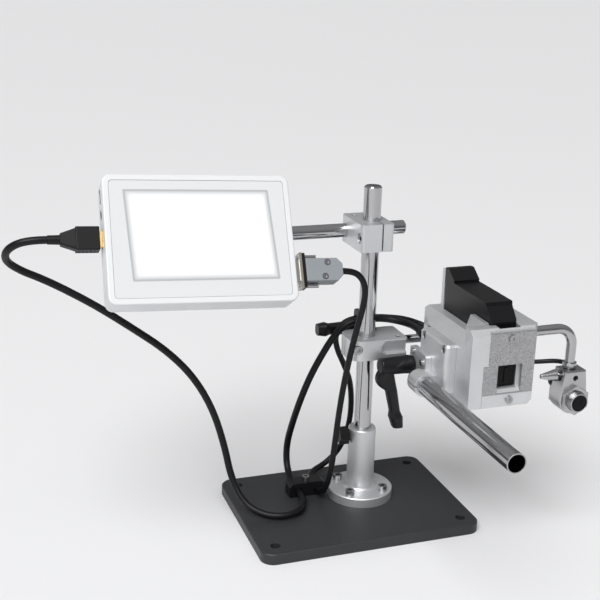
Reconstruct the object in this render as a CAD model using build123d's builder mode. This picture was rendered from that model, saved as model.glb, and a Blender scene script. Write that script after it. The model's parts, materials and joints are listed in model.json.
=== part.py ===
from build123d import *
from math import cos, pi, radians, sin, tan
import os

# Date code inkjet printer on its stand.  Millimetres, +Z up, +X along the line that carries the products
# (towards the print head), +Y away from the operator.  The origin is on the post's axis, in the plane
# that the base plate stands on.

# ---------------------------------------------------------------- driving dimensions
# stand
plate_length = 210.0
plate_width = 150.0
plate_thickness = 10.0
plate_corner = 12.0
plate_centre_x = -18.0
plate_centre_y = -12.0
bolt_spacing_x = 180.0
bolt_spacing_y = 120.0
bolt_hole = 9.0
post_diameter = 16.0
post_top = 312.0
post_seat = 14.0
socket_top = 80.0
socket_diameter = 26.0
flange_diameter = 62.0
flange_thickness = 9.0
flange_bolt_circle = 47.0
knob_height = 73.0
knob_diameter = 17.0
knob_length = 9.0
stud_diameter = 6.0

# controller's cross clamp and rod
rod_diameter = 12.7
rod_setback = 20.0
rod_height = 267.4
rod_left = -200.0
rod_right = 41.0
cross_left = -17.0
cross_right = 14.0
cross_front = -20.0
cross_back = 29.0
cross_bottom = 256.0
cross_top = 281.0
slit = 1.4

# controller: a flat box that leans back on the rod
panel_width = 158.0
panel_height = 110.0
panel_depth = 27.0
panel_corner = 7.0
panel_lean = 31.0
panel_roll = 3.0
panel_centre_x = -163.5
rod_behind_panel = 22.8
rod_above_centre = 13.7
panel_wall = 2.5
bezel_depth = 5.0
bezel_border = 5.0
glass_thickness = 1.8
screen_width = 123.0
screen_height = 75.0
bracket_plate = 4.0
bracket_width = 34.0

# lower cross clamp, its link rod and the two clamping levers
clamp_left = -21.0
clamp_right = 34.0
clamp_half_depth = 18.0
clamp_bottom = 153.0
clamp_top = 172.0
link_diameter = 8.0
link_height = 164.0
link_start = 19.0
lever_hub = 17.0
rear_lever_hub = 15.5
lever_y = -27.0
lever_z = 150.0
rear_lever_x = 13.5

# print head
head_left = 51.6
head_right = 118.0
head_front = -107.3
head_back = 8.0
head_bottom = 134.7
head_top = 206.0
left_wall_top = 193.5
shoulder_drop = 8.0
shoulder_width = 14.0
bevel_height = 4.0
front_plate = 3.0
plate_left = 69.0
cover_left = 41.6
cover_front = -80.0
cover_back = -26.0
cover_bottom = 140.0
cover_top = 184.5
bracket_left = 36.0

# ink cartridge
cartridge_left = 74.7
cartridge_width = 25.2
cartridge_front = -95.0
cartridge_back = -5.0
cartridge_floor = 147.0
cartridge_top = 223.0

# guide tube beside the head
tube_diameter = 17.0
tube_wall = 1.0
tube_x = 30.8
tube_z = 143.5
tube_front = -227.0
tube_back = -46.0

# product sensor on its bent arm
sensor_x = 160.0
sensor_z = 131.3
sensor_diameter = 18.0
sensor_front = -112.8
sensor_length = 32.0
nut_across_flats = 24.0
nut_thickness = 4.0
block_front = -103.0
block_back = -86.0
block_top = 158.0
arm_diameter = 9.0
arm_y = -91.0
arm_z = 195.5
arm_bend = 16.0

# cables
head_cable = 6.5
signal_cable = 5.6
sensor_cable = 4.5

# fits
running_fit = 0.05
clearance = 0.4
cable_fit = 0.3

os.makedirs("parts", exist_ok=True)


# ---------------------------------------------------------------- helpers
def keep(piece, name):
    """Label a finished piece and write it."""
    piece.label = name
    export_step(piece, f"parts/{name}.step")


def keep_group(name, *pieces):
    """Write pieces of one kind as one node, each still a solid of its own."""
    keep(Compound([solid for piece in pieces for solid in piece.solids()]), name)


def bar(low, high, mode=Mode.ADD):
    """A block between two opposite corners."""
    size = [b - a for a, b in zip(low, high)]
    centre = [(a + b) / 2 for a, b in zip(low, high)]
    with Locations(tuple(centre)):
        Box(*size, mode=mode)


def pin(start, end, diameter, mode=Mode.ADD):
    """A round bar, or with Mode.SUBTRACT a round hole, from one point to another."""
    run = Vector(*end) - Vector(*start)
    with BuildSketch(Plane(origin=start, z_dir=run)) as disc:
        Circle(diameter / 2)
    extrude(disc.sketch, amount=run.length, mode=mode)


def cap_screw(seat, tip, shank, head, head_height, key):
    """A cap screw whose head stands on its seat, with a hexagon socket."""
    run = (Vector(*tip) - Vector(*seat)).normalized()
    top = Vector(*seat) - run * head_height
    pin(tuple(top), seat, head)
    pin(seat, tip, shank)
    with BuildSketch(Plane(origin=tuple(top), z_dir=run)) as socket:
        RegularPolygon(key / 2, 6, major_radius=False)
    extrude(socket.sketch, amount=head_height * 0.6, mode=Mode.SUBTRACT)


def grub_screw(start, end, diameter, key):
    """A headless screw with a hexagon socket in its outer end."""
    pin(start, end, diameter)
    run = Vector(*end) - Vector(*start)
    with BuildSketch(Plane(origin=start, z_dir=run)) as socket:
        RegularPolygon(key / 2, 6, major_radius=False)
    extrude(socket.sketch, amount=run.length * 0.4, mode=Mode.SUBTRACT)


# ---------------------------------------------------------------- stand
with BuildPart() as base_plate:
    with BuildSketch():
        with Locations((plate_centre_x, plate_centre_y)):
            RectangleRounded(plate_length, plate_width, plate_corner)
            with GridLocations(bolt_spacing_x, bolt_spacing_y, 2, 2):
                Circle(bolt_hole / 2, mode=Mode.SUBTRACT)
    extrude(amount=plate_thickness)
    chamfer(base_plate.faces().sort_by(Axis.Z)[-1].outer_wire().edges(), 1.0)
    with Locations((0, 0, plate_thickness)):
        with PolarLocations(flange_bolt_circle / 2, 4, start_angle=45):
            Hole(2.5 + running_fit, depth=plate_thickness - 2)
keep(base_plate.part, "base_plate")

flange_top = plate_thickness + flange_thickness
with BuildPart() as base_socket:
    with BuildSketch(Plane.XZ):
        with BuildLine():
            Polyline(
                (0, plate_thickness), (flange_diameter / 2, plate_thickness),
                (flange_diameter / 2, flange_top), (socket_diameter / 2, flange_top),
                (socket_diameter / 2, socket_top), (0, socket_top), (0, plate_thickness),
            )
        make_face()
    revolve(axis=Axis.Z)
    fillet(base_socket.edges().filter_by(GeomType.CIRCLE).filter_by(
        lambda e: abs(e.radius - socket_diameter / 2) < 0.01 and e.center().Z < flange_top + 0.1), 4.0)
    round_edges = base_socket.edges().filter_by(GeomType.CIRCLE)
    chamfer(round_edges.filter_by(lambda e: e.center().Z > socket_top - 0.1), 0.8)
    chamfer(base_socket.edges().filter_by(GeomType.CIRCLE).filter_by(
        lambda e: e.radius > socket_diameter and e.center().Z > plate_thickness + 1), 0.8)
    pin((0, 0, post_seat), (0, 0, socket_top + 1), post_diameter + 2 * running_fit, Mode.SUBTRACT)
    pin((-socket_diameter, 0, knob_height), (0, 0, knob_height), stud_diameter + 2 * running_fit,
        Mode.SUBTRACT)
    with Locations((0, 0, flange_top)):
        with PolarLocations(flange_bolt_circle / 2, 4, start_angle=45):
            Hole(2.5 + running_fit, depth=flange_thickness)
keep(base_socket.part, "base_socket")

with BuildPart() as base_socket_screws:
    for at in PolarLocations(flange_bolt_circle / 2, 4, start_angle=45).locations:
        x, y = at.position.X, at.position.Y
        cap_screw((x, y, flange_top), (x, y, plate_thickness - 7), 5, 8.5, 5, 4)

with BuildPart() as post:
    pin((0, 0, post_seat), (0, 0, post_top), post_diameter)
    chamfer(post.edges().sort_by(Axis.Z)[-1], 1.2)
keep(post.part, "post")

knob_seat = -socket_diameter / 2 - 2
with BuildPart() as base_knob:
    with BuildSketch(Plane(origin=(knob_seat, 0, knob_height), x_dir=(0, 1, 0), z_dir=(-1, 0, 0))):
        Circle(knob_diameter / 2 - 1.5)
        with PolarLocations(knob_diameter / 2 - 2.2, 6):
            Circle(2.2)
    extrude(amount=knob_length)
    fillet(base_knob.faces().sort_by(Axis.X)[0].edges(), 0.8)
    pin((knob_seat + 0.1, 0, knob_height), (knob_seat - knob_length + 2, 0, knob_height), stud_diameter,
        Mode.SUBTRACT)

with BuildPart() as base_knob_stud:
    pin((knob_seat - knob_length + 2.2, 0, knob_height), (-post_diameter / 2 - clearance, 0, knob_height),
        stud_diameter - 0.1)
keep_group("base_knob", base_knob.part, base_knob_stud.part)

clip_y = (8.0, 22.0)
clip_x = (-68.0, -32.0)
clip_top = 24.0
clip_lane = {"head": -59.0, "signal": -41.0}
clip_lane_z = 16.0
with BuildPart() as cable_clip:
    bar((clip_x[0], clip_y[0], plate_thickness), (clip_x[1], clip_y[1], clip_top))
    fillet(cable_clip.edges().filter_by(Axis.Y).sort_by(Axis.Z)[-2:], 5.0)
    for lane, diameter in ((clip_lane["head"], head_cable), (clip_lane["signal"], signal_cable)):
        pin((lane, clip_y[0] - 1, clip_lane_z), (lane, clip_y[1] + 1, clip_lane_z),
            diameter + 2 * cable_fit,
            Mode.SUBTRACT)
    pin((-50, 15, plate_thickness - 1), (-50, 15, clip_top + 1), 4 + 2 * running_fit, Mode.SUBTRACT)
keep(cable_clip.part, "cable_clip")

with BuildPart() as cable_clip_screw:
    cap_screw((-50, 15, clip_top), (-50, 15, plate_thickness + 0.2), 4, 7, 4, 3)

# ---------------------------------------------------------------- controller's cross clamp and rod
pinch_y = -14.0
pinch_z = 268.0
grub_x = -9.0
slit_x = 3.0
with BuildPart() as upper_clamp:
    bar((cross_left, cross_front, cross_bottom), (cross_right, cross_back, cross_top))
    fillet(upper_clamp.edges().filter_by(Axis.Z), 3.0)
    pin((0, 0, cross_bottom - 1), (0, 0, cross_top + 1), post_diameter + 2 * running_fit, Mode.SUBTRACT)
    pin((cross_left - 1, rod_setback, rod_height), (cross_right + 1, rod_setback, rod_height),
        rod_diameter + 2 * running_fit, Mode.SUBTRACT)
    bar((slit_x - slit / 2, cross_front - 1, cross_bottom - 1), (slit_x + slit / 2, 0, cross_top + 1),
        Mode.SUBTRACT)
    pin((cross_left - 1, pinch_y, pinch_z), (cross_left + 6, pinch_y, pinch_z), 9.4, Mode.SUBTRACT)
    pin((cross_left, pinch_y, pinch_z), (cross_right - 2, pinch_y, pinch_z), 5 + 2 * running_fit,
        Mode.SUBTRACT)
    pin((grub_x, rod_setback, rod_height), (grub_x, rod_setback, cross_top + 1), 5 + 2 * running_fit,
        Mode.SUBTRACT)
keep(upper_clamp.part, "upper_clamp")

with BuildPart() as upper_pinch_screw:
    cap_screw((cross_left + 6, pinch_y, pinch_z), (cross_right - 2.5, pinch_y, pinch_z), 5, 8.5, 5, 4)

with BuildPart() as upper_set_screw:
    grub_screw((grub_x, rod_setback, cross_top - 1.0),
               (grub_x, rod_setback, rod_height + rod_diameter / 2 + 0.1), 5, 2.5)
keep_group("stand_screws", base_socket_screws.part, cable_clip_screw.part, upper_pinch_screw.part,
           upper_set_screw.part)

with BuildPart() as control_rod:
    pin((rod_left, rod_setback, rod_height), (rod_right, rod_setback, rod_height), rod_diameter)
    chamfer(control_rod.edges().filter_by(GeomType.CIRCLE), 1.0)
keep(control_rod.part, "control_rod")

# ---------------------------------------------------------------- controller
# The panel's plane lies in the front face, x along its width and y up its height.  It leans back, is turned
# a little in its own plane, and the rod runs behind it, above its centre.
lean = radians(panel_lean)
roll = radians(panel_roll)
panel_normal = Vector(0, -cos(lean), sin(lean))
panel_up = Vector(0, sin(lean), cos(lean))
panel_right = Vector(cos(roll), 0, 0) - panel_up * sin(roll)
rod_point = Vector(panel_centre_x, rod_setback, rod_height)
panel_origin = rod_point - panel_up * rod_above_centre + panel_normal * (panel_depth + rod_behind_panel)
panel = Plane(origin=panel_origin, x_dir=panel_right, z_dir=panel_normal)


def slab(x, y, front, back, mode=Mode.ADD, corner=0.0):
    """A block on the panel: x and y are (low, high), front and back are depths behind the front face."""
    with BuildSketch(panel.offset(-back)) as outline:
        with Locations(((x[0] + x[1]) / 2, (y[0] + y[1]) / 2)):
            if corner:
                RectangleRounded(x[1] - x[0], y[1] - y[0], corner)
            else:
                Rectangle(x[1] - x[0], y[1] - y[0])
    extrude(outline.sketch, amount=back - front, mode=mode)


def panel_point(x, y, depth):
    """A point given on the panel's plane and by its depth behind the front face."""
    return tuple(panel.from_local_coords(Vector(x, y, -depth)))


half_w = panel_width / 2
half_h = panel_height / 2
inner_w = half_w - panel_wall
inner_h = half_h - panel_wall
port_depth = 16.0
hdmi_y = 4.0
dsub_y = -26.0
dsub_pitch = 25.0 / 2
dsub_shell_half = 9.4
dsub_flange_half = 15.4
back_screw_x = 68.5
back_screw_y = 44.5

with BuildPart() as rear_housing:
    slab((-half_w, half_w), (-half_h, half_h), bezel_depth, panel_depth, corner=panel_corner)
    fillet(rear_housing.faces().sort_by(Axis(panel_origin, panel_normal))[0].edges(), 2.2)
    slab((-inner_w, inner_w), (-inner_h, inner_h), bezel_depth - 1, panel_depth - panel_wall, Mode.SUBTRACT,
         corner=panel_corner - panel_wall)
    for x in (-back_screw_x, back_screw_x):
        for y in (-back_screw_y, back_screw_y):
            pin(panel_point(x, y, bezel_depth), panel_point(x, y, panel_depth - panel_wall), 8)
            pin(panel_point(x, y, bezel_depth - 1), panel_point(x, y, panel_depth + 1),
                3 + 2 * running_fit, Mode.SUBTRACT)
    for x in (-20, 20):
        for y in (-9, 36):
            pin(panel_point(x, y, panel_depth - panel_wall - 4), panel_point(x, y, panel_depth - 1), 8)
            pin(panel_point(x, y, panel_depth - 6), panel_point(x, y, panel_depth + 1),
                4 + 2 * running_fit, Mode.SUBTRACT)
    # left side: display plug, power jack and data port; right side: signal connector
    slab((-half_w - 1, -inner_w + 1), (hdmi_y - 8.2, hdmi_y + 8.2), port_depth - 3.4, port_depth + 3.4,
        Mode.SUBTRACT)
    slab((-half_w - 1, -inner_w + 1), (33.5, 46.5), port_depth - 3.2, port_depth + 3.2, Mode.SUBTRACT)
    pin(panel_point(-half_w - 1, 24, port_depth), panel_point(-inner_w + 1, 24, port_depth), 9,
        Mode.SUBTRACT)
    slab((inner_w - 1, half_w + 1), (dsub_y - dsub_shell_half - clearance,
        dsub_y + dsub_shell_half + clearance),
         port_depth - 5.6, port_depth + 5.6, Mode.SUBTRACT)
    # vent slots in the back
    for index in range(6):
        slab((40 + 4 * index, 42 + 4 * index), (-20, 20), panel_depth - panel_wall - 1, panel_depth + 1,
            Mode.SUBTRACT)
keep(rear_housing.part, "rear_housing")

with BuildPart() as front_bezel:
    slab((-half_w, half_w), (-half_h, half_h), 0, bezel_depth - 0.15, corner=panel_corner)
    fillet(front_bezel.faces().sort_by(Axis(panel_origin, panel_normal))[-1].edges(), 1.2)
    slab((-half_w + bezel_border, half_w - bezel_border), (-half_h + bezel_border, half_h - bezel_border),
         -1, glass_thickness + 0.3, Mode.SUBTRACT, corner=3)
    slab((-half_w + bezel_border + 4, half_w - bezel_border - 4),
        (-half_h + bezel_border + 4, half_h - bezel_border - 4),
         0, bezel_depth + 1, Mode.SUBTRACT, corner=2)
    for x in (-back_screw_x, back_screw_x):
        for y in (-back_screw_y, back_screw_y):
            pin(panel_point(x, y, 2.5), panel_point(x, y, bezel_depth - 0.15), 6)
            pin(panel_point(x, y, 3.0), panel_point(x, y, bezel_depth + 1), 3 + 2 * running_fit,
                Mode.SUBTRACT)
keep(front_bezel.part, "front_bezel")

glass_gap = 0.25
with BuildPart() as touch_glass:
    slab((-half_w + bezel_border + glass_gap, half_w - bezel_border - glass_gap),
         (-half_h + bezel_border + glass_gap, half_h - bezel_border - glass_gap), 0.3,
         0.3 + glass_thickness, corner=2.8)
keep(touch_glass.part, "touch_glass")

lcd_front = 0.3 + glass_thickness + 0.2
with BuildPart() as lcd_module:
    slab((-screen_width / 2 - 3, screen_width / 2 + 3), (-screen_height / 2 - 3, screen_height / 2 + 3),
         lcd_front, lcd_front + 5.5)
keep(lcd_module.part, "lcd_module")

board_front = lcd_front + 5.5 + 2.5
with BuildPart() as main_board:
    slab((-70.5, 70.5), (-38, 38), board_front, board_front + 1.6)
    for x, y, w, h in ((-30, 8, 14, 14), (-4, 10, 10, 8), (22, -12, 18, 12), (-28, -20, 9, 16),
        (48, 14, 8, 8)):
        slab((x - w / 2, x + w / 2), (y - h / 2, y + h / 2), board_front + 1.5, board_front + 3.6)
keep(main_board.part, "main_board")

with BuildPart() as housing_screws:
    for x in (-back_screw_x, back_screw_x):
        for y in (-back_screw_y, back_screw_y):
            cap_screw(panel_point(x, y, panel_depth), panel_point(x, y, 3.4), 3, 5.5, 1.8, 2)

with BuildPart() as hdmi_socket:
    slab((-half_w + 0.4, -half_w + 6.2), (hdmi_y - 8, hdmi_y + 8), port_depth - 3.2, port_depth + 3.2)
    slab((-half_w, -half_w + 5.4), (hdmi_y - 7.4, hdmi_y + 7.4), port_depth - 2.6, port_depth + 2.6,
        Mode.SUBTRACT)

with BuildPart() as power_jack:
    pin(panel_point(-half_w + 0.3, 24, port_depth), panel_point(-inner_w + 5, 24, port_depth), 8.4)
    pin(panel_point(-half_w, 24, port_depth), panel_point(-inner_w + 4, 24, port_depth), 6, Mode.SUBTRACT)
    pin(panel_point(-half_w + 1.5, 24, port_depth), panel_point(-inner_w + 4.5, 24, port_depth), 2)

with BuildPart() as usb_socket:
    slab((-half_w + 0.3, -inner_w + 3.4), (33.8, 46.2), port_depth - 2.9, port_depth + 2.9)
    slab((-half_w, -inner_w + 2.6), (34.5, 45.5), port_depth - 2.2, port_depth + 2.2, Mode.SUBTRACT)
    slab((-half_w + 1, -inner_w + 3.0), (35.5, 44.5), port_depth - 1.7, port_depth - 0.6)
keep_group("side_sockets", hdmi_socket.part, power_jack.part, usb_socket.part)

with BuildPart() as signal_socket:
    slab((inner_w + 0.3, half_w + 9), (dsub_y - dsub_shell_half, dsub_y + dsub_shell_half),
        port_depth - 5.2,
         port_depth + 5.2)
    slab((half_w + 6.6, half_w + 9), (dsub_y - dsub_flange_half, dsub_y + dsub_flange_half),
        port_depth - 6.2,
         port_depth + 6.2)
    for side in (-1, 1):
        pin(panel_point(half_w + 5, dsub_y + side * dsub_pitch, port_depth),
            panel_point(half_w + 10, dsub_y + side * dsub_pitch, port_depth), 3 + 2 * running_fit,
            Mode.SUBTRACT)
keep(signal_socket.part, "signal_socket")

# display plug on the left: shell, ribbed body, strain relief
with BuildPart() as hdmi_plug_shell:
    slab((-half_w - 2.4, -half_w + 5.0), (hdmi_y - 7.0, hdmi_y + 7.0), port_depth - 2.2, port_depth + 2.2)
keep(hdmi_plug_shell.part, "hdmi_plug_shell")

plug_inner = -half_w - 2.4
plug_outer = plug_inner - 19.5
plug_taper = plug_outer - 12.0
relief_end = plug_taper - 10.0
with BuildPart() as hdmi_plug_body:
    slab((plug_outer, plug_inner), (hdmi_y - 10, hdmi_y + 10), port_depth - 5.5, port_depth + 5.5)
    fillet(hdmi_plug_body.edges(), 1.0)
    for index in range(5):
        x = plug_inner - 4.5 - 3.0 * index
        for edge in (-1, 1):
            slab((x - 0.6, x + 0.6), (hdmi_y + edge * 10 - 0.5, hdmi_y + edge * 10 + 0.5),
                 port_depth - 4.2, port_depth + 4.2, Mode.SUBTRACT)
    with BuildSketch(Plane(origin=panel_point(plug_outer + 0.6, hdmi_y, port_depth), x_dir=panel_up,
        z_dir=-panel_right)):
        RectangleRounded(18.4, 9.4, 1.5)
    with BuildSketch(Plane(origin=panel_point(plug_taper, hdmi_y, port_depth), x_dir=panel_up,
        z_dir=-panel_right)):
        RectangleRounded(9.6, 8.2, 1.5)
    loft()
keep(hdmi_plug_body.part, "hdmi_plug_body")

with BuildPart() as hdmi_relief:
    with BuildSketch(Plane(origin=panel_point(plug_taper, hdmi_y, port_depth), z_dir=-panel_right)):
        Circle(4.0)
    with BuildSketch(Plane(origin=panel_point(relief_end, hdmi_y, port_depth), z_dir=-panel_right)):
        Circle(head_cable / 2 + 0.5)
    loft()
keep(hdmi_relief.part, "hdmi_relief")

# signal plug on the right: shell, hood, its screws and the two thumbscrews
dsub_face = half_w + 9 + 0.2
hood_start = dsub_face + 2.6
hood_end = hood_start + 33.0
with BuildPart() as signal_plug_flange:
    slab((dsub_face, hood_start), (dsub_y - dsub_flange_half + clearance,
        dsub_y + dsub_flange_half - clearance),
         port_depth - 6.0, port_depth + 6.0)
    for side in (-1, 1):
        pin(panel_point(dsub_face - 1, dsub_y + side * dsub_pitch, port_depth),
            panel_point(hood_start + 1, dsub_y + side * dsub_pitch, port_depth),
            3 + 2 * running_fit, Mode.SUBTRACT)
keep(signal_plug_flange.part, "signal_plug_flange")

hood_half = 10.1
hood_screw_y = 6.2
hood_screw_x = (hood_end - 16.5, hood_end - 13.5)
with BuildPart() as signal_plug_hood:
    slab((hood_start, hood_end), (dsub_y - hood_half, dsub_y + hood_half), port_depth - 7.5,
        port_depth + 7.5)
    chamfer(signal_plug_hood.edges().filter_by(Axis((0, 0, 0), panel_normal)).sort_by(
        Axis((0, 0, 0), panel_right))[-2:], 5.0)
    fillet(signal_plug_hood.faces().sort_by(Axis((0, 0, 0), panel_normal))[-1].edges(), 0.8)
    for side, x in zip((-1, 1), hood_screw_x):
        pin(panel_point(x, dsub_y + side * hood_screw_y, port_depth - 8),
            panel_point(x, dsub_y + side * hood_screw_y, port_depth - 6), 5.6,
            Mode.SUBTRACT)
        pin(panel_point(x, dsub_y + side * hood_screw_y, port_depth - 8),
            panel_point(x, dsub_y + side * hood_screw_y, port_depth + 4),
            2.5 + 2 * running_fit, Mode.SUBTRACT)
keep(signal_plug_hood.part, "signal_plug_hood")

with BuildPart() as hood_screws:
    for side, x in zip((-1, 1), hood_screw_x):
        cap_screw(panel_point(x, dsub_y + side * hood_screw_y, port_depth - 6),
            panel_point(x, dsub_y + side * hood_screw_y, port_depth + 3.5),
                  2.5, 4.8, 1.6, 2)

for side, name in ((1, "upper_thumbscrew"), (-1, "lower_thumbscrew")):
    y = dsub_y + side * dsub_pitch
    with BuildPart() as thumbscrew:
        pin(panel_point(hood_start + 0.4, y, port_depth), panel_point(hood_start + 11.5, y, port_depth),
            4.0)
        pin(panel_point(half_w + 6, y, port_depth), panel_point(hood_start + 0.5, y, port_depth), 3.0)
        slab((hood_start + 10.3, hood_start + 11.6), (y - 0.4, y + 0.4), port_depth - 3, port_depth + 3,
            Mode.SUBTRACT)
    keep(thumbscrew.part, name)

# bracket that grips the rod and carries the controller
grip_depth = panel_depth + rod_behind_panel
grip_y = rod_above_centre
with BuildPart() as controller_bracket:
    slab((-30, 30), (-18, 45), panel_depth + 0.1, panel_depth + bracket_plate, corner=5)
    slab((-bracket_width / 2, bracket_width / 2), (grip_y - 13, grip_y + 13),
        panel_depth + bracket_plate - 1, grip_depth + 18)
    fillet(controller_bracket.edges().filter_by(Axis((0, 0, 0), panel_right)).sort_by(
        Axis((0, 0, 0), panel_normal))[:2], 5.0)
    pin((panel_centre_x - 40, rod_setback, rod_height), (panel_centre_x + 40, rod_setback, rod_height),
        rod_diameter + 2 * running_fit, Mode.SUBTRACT)
    slab((-bracket_width, bracket_width), (grip_y - slit / 2, grip_y + slit / 2), grip_depth,
        grip_depth + 20, Mode.SUBTRACT)
    for x in (-20, 20):
        for y in (-9, 36):
            pin(panel_point(x, y, panel_depth), panel_point(x, y, panel_depth + 5), 4 + 2 * running_fit,
                Mode.SUBTRACT)
    pin(panel_point(0, grip_y + 14, grip_depth + 11.5), panel_point(0, grip_y + 8, grip_depth + 11.5),
        9.4, Mode.SUBTRACT)
    pin(panel_point(0, grip_y + 10, grip_depth + 11.5), panel_point(0, grip_y - 11, grip_depth + 11.5),
        5 + 2 * running_fit, Mode.SUBTRACT)
keep(controller_bracket.part, "controller_bracket")

with BuildPart() as bracket_screws:
    for x in (-20, 20):
        for y in (-9, 36):
            cap_screw(panel_point(x, y, panel_depth + bracket_plate), panel_point(x, y, panel_depth - 4),
                4, 7, 3.5, 3)

with BuildPart() as bracket_pinch_screw:
    cap_screw(panel_point(0, grip_y + 8, grip_depth + 11.5),
        panel_point(0, grip_y - 10.5, grip_depth + 11.5), 5, 8.5, 5, 4)
keep_group("controller_screws", housing_screws.part, hood_screws.part, bracket_screws.part,
    bracket_pinch_screw.part)

# ------------------------------------------------ lower cross clamp: two halves round the post
closing_x = -14.5
pocket_left = 8.0
side_gap = 0.6
for half, name in ((-1, "lower_clamp_front"), (1, "lower_clamp_back")):
    with BuildPart() as clamp_half:
        bar((clamp_left, min(half * side_gap, half * clamp_half_depth), clamp_bottom),
            (clamp_right, max(half * side_gap, half * clamp_half_depth), clamp_top))
        outer = clamp_half.edges().filter_by(Axis.Z).sort_by(Axis.Y)
        outer = outer[:2] if half < 0 else outer[-2:]
        fillet(outer.sort_by(Axis.X)[0], 12.0)
        fillet(outer.sort_by(Axis.X)[-1], 2.5)
        pin((0, 0, clamp_bottom - 1), (0, 0, clamp_top + 1), post_diameter + 2 * running_fit, Mode.SUBTRACT)
        pin((link_start - 1, 0, link_height), (clamp_right + 1, 0, link_height),
            link_diameter + 2 * running_fit,
            Mode.SUBTRACT)
        pin((closing_x, -clamp_half_depth - 1, link_height), (closing_x, 13, link_height),
            5 + 2 * running_fit,
            Mode.SUBTRACT)
        pin((rear_lever_x, -12, link_height), (rear_lever_x, clamp_half_depth + 1, link_height),
            stud_diameter + 2 * running_fit, Mode.SUBTRACT)
        if half < 0:
            pin((closing_x, -clamp_half_depth - 1, link_height),
                (closing_x, -clamp_half_depth + 3.5, link_height), 8.4,
                Mode.SUBTRACT)
            with BuildSketch(Plane.XZ.offset(clamp_half_depth)):
                with Locations((pocket_left + 20, link_height)):
                    SlotOverall(40, 12.5)
            extrude(amount=-4.5, mode=Mode.SUBTRACT)
            pin((27, -10.5, link_height + 2), (27, -10.5, clamp_top + 1), 5 + 2 * running_fit,
                Mode.SUBTRACT)
        else:
            pin((8, 13.5, clamp_top - 6), (8, 13.5, clamp_top + 1), 3 + 2 * running_fit, Mode.SUBTRACT)
    keep(clamp_half.part, name)

with BuildPart() as closing_screw:
    cap_screw((closing_x, -clamp_half_depth + 3.5, link_height), (closing_x, 12, link_height), 5, 7.8,
        3.0, 4)

with BuildPart() as link_grub_screw:
    grub_screw((27, -10.5, clamp_top - 0.6), (27, -10.5, link_height + 2.4), 5, 2.5)

link_end = head_left + 18.0
with BuildPart() as link_rod:
    pin((link_start, 0, link_height), (link_end, 0, link_height), link_diameter)
    chamfer(link_rod.edges().filter_by(GeomType.CIRCLE), 0.6)
keep(link_rod.part, "link_rod")

# saddle that holds both cables behind the post
saddle_x = (2.0, 14.0)
saddle_end = 37.4
saddle_underside = clamp_top + 1.0
saddle_lane = {"head": (22.0, 179.5), "signal": (32.5, 177.5)}
with BuildPart() as cable_saddle:
    bar((saddle_x[0], 9.5, clamp_top + 0.05), (saddle_x[1], clamp_half_depth - 0.2, clamp_top + 1.8))
    bar((saddle_x[0], 16.5, saddle_underside), (saddle_x[1], saddle_end, 186.5))
    fillet(cable_saddle.edges().filter_by(Axis.X).sort_by(Axis.Z)[-2:], 4.0)
    for lane, diameter in (("head", head_cable), ("signal", signal_cable)):
        y, z = saddle_lane[lane]
        pin((saddle_x[0] - 1, y, z), (saddle_x[1] + 1, y, z), diameter + 2 * cable_fit, Mode.SUBTRACT)
    pin((8, 13.5, clamp_top), (8, 13.5, clamp_top + 3), 3 + 2 * running_fit, Mode.SUBTRACT)
keep(cable_saddle.part, "cable_saddle")

with BuildPart() as saddle_screw:
    cap_screw((8, 13.5, clamp_top + 1.8), (8, 13.5, clamp_top - 5.5), 3, 5.0, 2.0, 2)
keep_group("lower_clamp_screws", closing_screw.part, link_grub_screw.part, saddle_screw.part)


# clamping levers: a hub on a stud, and a tapered arm with a thick end.  The arm's outline is drawn as
# (distance along the arm, half width), and the hub lies along the stud.
def lever(plane, hub, hub_length, arm_from, arm_length, lean_per_mm):
    """plane: origin at the stud's seat, z along the hub outwards, x along the arm."""
    with BuildPart() as handle:
        with BuildSketch(plane) as base:
            Circle(hub / 2 - 1.2)
        extrude(base.sketch, amount=6)
        with BuildSketch(plane.offset(4)) as body:
            Circle(hub / 2)
        extrude(body.sketch, amount=hub_length - 4, taper=1.5)
        fillet(handle.faces().sort_by(Axis(plane.origin, plane.z_dir))[-1].edges(), 2.0)
        middle = hub_length - 8.0
        sections = ((0.0, 6.5, 7.0), (arm_length * 0.35, 5.2, 6.0), (arm_length * 0.72, 4.8, 5.2),
                    (arm_length * 0.82, 6.4, 6.6), (arm_length, 5.0, 5.4))
        for (a, wide_a, thick_a), (b, wide_b, thick_b) in zip(sections, sections[1:]):
            for at, wide, thick in ((a, wide_a, thick_a), (b, wide_b, thick_b)):
                centre = plane.from_local_coords(Vector(arm_from + at, 0, middle - lean_per_mm * at))
                with BuildSketch(Plane(origin=centre, x_dir=plane.z_dir, z_dir=plane.x_dir)):
                    RectangleRounded(2 * wide, 2 * thick, min(wide, thick) * 0.75)
            loft()
        pin(tuple(plane.origin - plane.z_dir), tuple(plane.origin + plane.z_dir * 14), stud_diameter,
            Mode.SUBTRACT)
    return handle.part


lever_seat = bracket_left - 0.3
lever_plane = Plane(origin=(lever_seat, lever_y, lever_z), x_dir=(0, 0, -1), z_dir=(-1, 0, 0))
clamp_lever = lever(lever_plane, lever_hub, 33.0, 3.0, 58.0, 0.22)
with BuildPart() as clamp_lever_stud:
    pin((lever_seat - 13.8, lever_y, lever_z), (cover_left - 0.5, lever_y, lever_z), stud_diameter - 0.1)
keep_group("clamp_lever", clamp_lever, clamp_lever_stud.part)

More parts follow.
